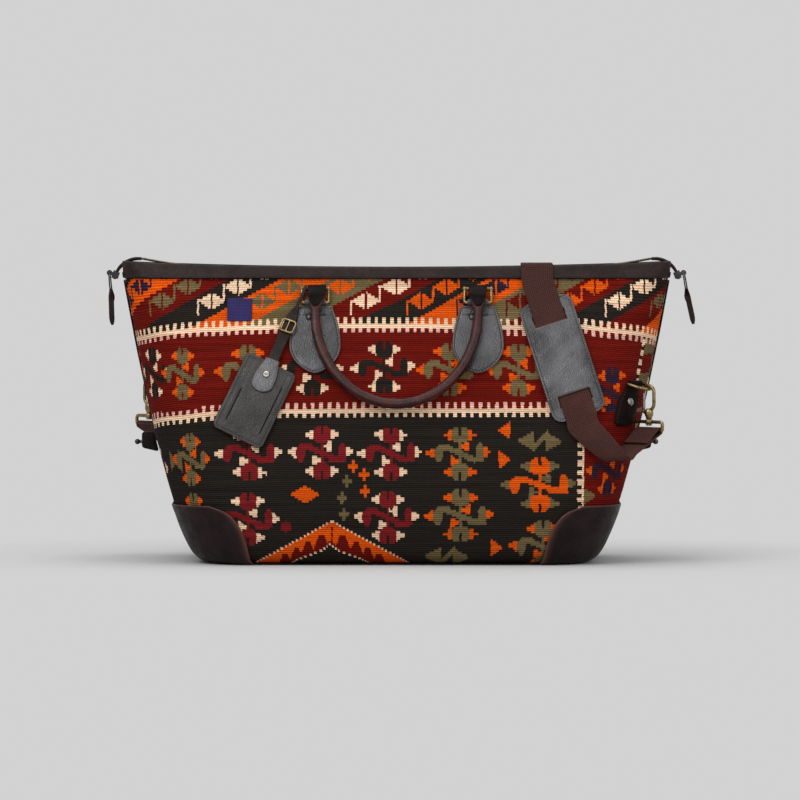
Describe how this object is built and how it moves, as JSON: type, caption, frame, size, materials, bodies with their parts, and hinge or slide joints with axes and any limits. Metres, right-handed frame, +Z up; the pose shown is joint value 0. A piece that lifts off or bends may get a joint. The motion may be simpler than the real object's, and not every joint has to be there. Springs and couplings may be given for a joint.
{
  "type": "weekender bag",
  "caption": "Kilim weekender bag with leather base corners and rim, rolled handles on brass rings, zipped mouth, padded shoulder strap on swivel hooks and a luggage tag.",
  "frame": {"origin": "centre of the base panel's underside", "axes": "+X along the bag to the right as seen from the front, +Y from front to back, +Z up"},
  "size_m": [0.594, 0.2681, 0.307],
  "materials": {
    "kilim": "flat-woven wool kilim, ribbed and matte",
    "rim_leather": "dark brown, softly worn",
    "corner_leather": "very dark brown, waxed",
    "charcoal_leather": "charcoal, rubbed lighter on high spots",
    "handle_leather": "oxblood brown, rolled and polished by use",
    "tag_leather": "grey brown, smooth with stitched edges",
    "tab_leather": "near black",
    "cotton": "plain cotton lining",
    "board": "stiff plain board",
    "webbing": "brown cotton webbing",
    "label_cloth": "indigo cloth, bare",
    "zip_cloth": "dark tape",
    "zip_metal": "antique teeth",
    "brass": "antique, softly polished",
    "steel": "plain",
    "gunmetal": "dark"
  },
  "bodies": {
    "bag": {"kilim_front": "kilim", "kilim_back": "kilim", "base_panel": "corner_leather", "base_board": "board", "lining": "cotton", "corner_patch_front_left": "corner_leather", "corner_patch_back_right": "corner_leather", "corner_patch_front_right": "corner_leather", "corner_patch_back_left": "corner_leather", "rim_front": "rim_leather", "rim_back": "rim_leather", "end_strip_left": "rim_leather", "stud_tab_left": "rim_leather", "tab_stud_left": "gunmetal", "end_strip_right": "rim_leather", "stud_tab_right": "rim_leather", "tab_stud_right": "gunmetal", "label_patch": "label_cloth", "zip_tape_front": "zip_cloth", "zip_tape_back": "zip_cloth", "zip_chain": "zip_metal", "zip_tail_left": "zip_cloth", "zip_tail_right": "zip_cloth", "handle_patch_front_left": "charcoal_leather", "handle_patch_back_right": "charcoal_leather", "handle_ring_front_left": "brass", "handle_ring_back_right": "brass", "handle_patch_front_right": "charcoal_leather", "handle_patch_back_left": "charcoal_leather", "handle_ring_front_right": "brass", "handle_ring_back_left": "brass", "ring_tab_front": "tab_leather", "ring_tab_back": "tab_leather", "tab_rivet_front": "brass", "tab_rivet_back": "brass", "swivel_loop_front": "brass", "swivel_loop_back": "brass", "strap_pad": "charcoal_leather", "strap_webbing": "webbing"},
    "handle_front": {"handle_front": "handle_leather"},
    "handle_back": {"handle_back": "handle_leather"},
    "luggage_tag": {"tag_body": "tag_leather", "tag_strap": "tag_leather", "tag_buckle": "brass", "tag_snap": "brass"},
    "zip_slider_left": {"zip_slider_left": "brass"},
    "zip_slider_right": {"zip_slider_right": "brass"},
    "zip_pull_left": {"zip_pull_left": "tab_leather"},
    "zip_pull_right": {"zip_pull_right": "tab_leather"},
    "d_ring_front": {"d_ring_front": "brass"},
    "d_ring_back": {"d_ring_back": "brass"},
    "hook_front": {"hook_body_front": "brass"},
    "hook_back": {"hook_body_back": "brass"},
    "gate_front": {"hook_gate_front": "steel"},
    "gate_back": {"hook_gate_back": "steel"}
  },
  "joints": [
    {"name": "handle_front_swing", "type": "hinge", "parent": "bag", "child": "handle_front", "pos_m": [0, -0.04138, 0.27575], "axis": [-1, 0, 0], "range_deg": [0, 150]},
    {"name": "handle_back_swing", "type": "hinge", "parent": "bag", "child": "handle_back", "pos_m": [0, 0.04138, 0.27575], "axis": [1, 0, 0], "range_deg": [0, 150]},
    {"name": "luggage_tag_swing", "type": "hinge", "parent": "bag", "child": "luggage_tag", "pos_m": [0, -0.04138, 0.27575], "axis": [-1, 0, 0], "range_deg": [0, 100]},
    {"name": "zip_slider_left_travel", "type": "hinge", "parent": "bag", "child": "zip_slider_left", "pos_m": [-0.2618, 0, 0.2815], "axis": [0, 1, 0], "range_deg": [0, 40]},
    {"name": "zip_pull_left_swing", "type": "hinge", "parent": "zip_slider_left", "child": "zip_pull_left", "pos_m": [-0.29077, 0, 0.29119], "axis": [0, 1, 0], "range_deg": [-4, 100]},
    {"name": "zip_slider_right_travel", "type": "hinge", "parent": "bag", "child": "zip_slider_right", "pos_m": [0.2618, 0, 0.2815], "axis": [0, -1, 0], "range_deg": [0, 40]},
    {"name": "zip_pull_right_swing", "type": "hinge", "parent": "zip_slider_right", "child": "zip_pull_right", "pos_m": [0.29077, 0, 0.29119], "axis": [0, -1, 0], "range_deg": [-12, 100]},
    {"name": "d_ring_front_rock", "type": "hinge", "parent": "bag", "child": "d_ring_front", "pos_m": [0.23967, -0.07073, 0.181], "axis": [0.7071, 0.7071, 0], "range_deg": [0, 6]},
    {"name": "hook_front_swivel", "type": "hinge", "parent": "bag", "child": "hook_front", "pos_m": [0.25333, -0.08439, 0.17582], "axis": [0, 0, 1], "range_deg": [-25, 25]},
    {"name": "gate_front_press", "type": "hinge", "parent": "hook_front", "child": "gate_front", "pos_m": [0.24856, -0.07962, 0.15602], "axis": [0.7071, 0.7071, 0], "range_deg": [0, 30], "stiffness_Nm_per_rad": 0.02, "springref_deg": -11.46},
    {"name": "d_ring_back_rock", "type": "hinge", "parent": "bag", "child": "d_ring_back", "pos_m": [-0.23967, 0.07073, 0.181], "axis": [-0.7071, -0.7071, 0], "range_deg": [0, 6]},
    {"name": "hook_back_swivel", "type": "hinge", "parent": "bag", "child": "hook_back", "pos_m": [-0.25333, 0.08439, 0.17582], "axis": [0, 0, 1], "range_deg": [-25, 25]},
    {"name": "gate_back_press", "type": "hinge", "parent": "hook_back", "child": "gate_back", "pos_m": [-0.24856, 0.07962, 0.15602], "axis": [-0.7071, -0.7071, 0], "range_deg": [0, 30], "stiffness_Nm_per_rad": 0.02, "springref_deg": -11.46}
  ]
}
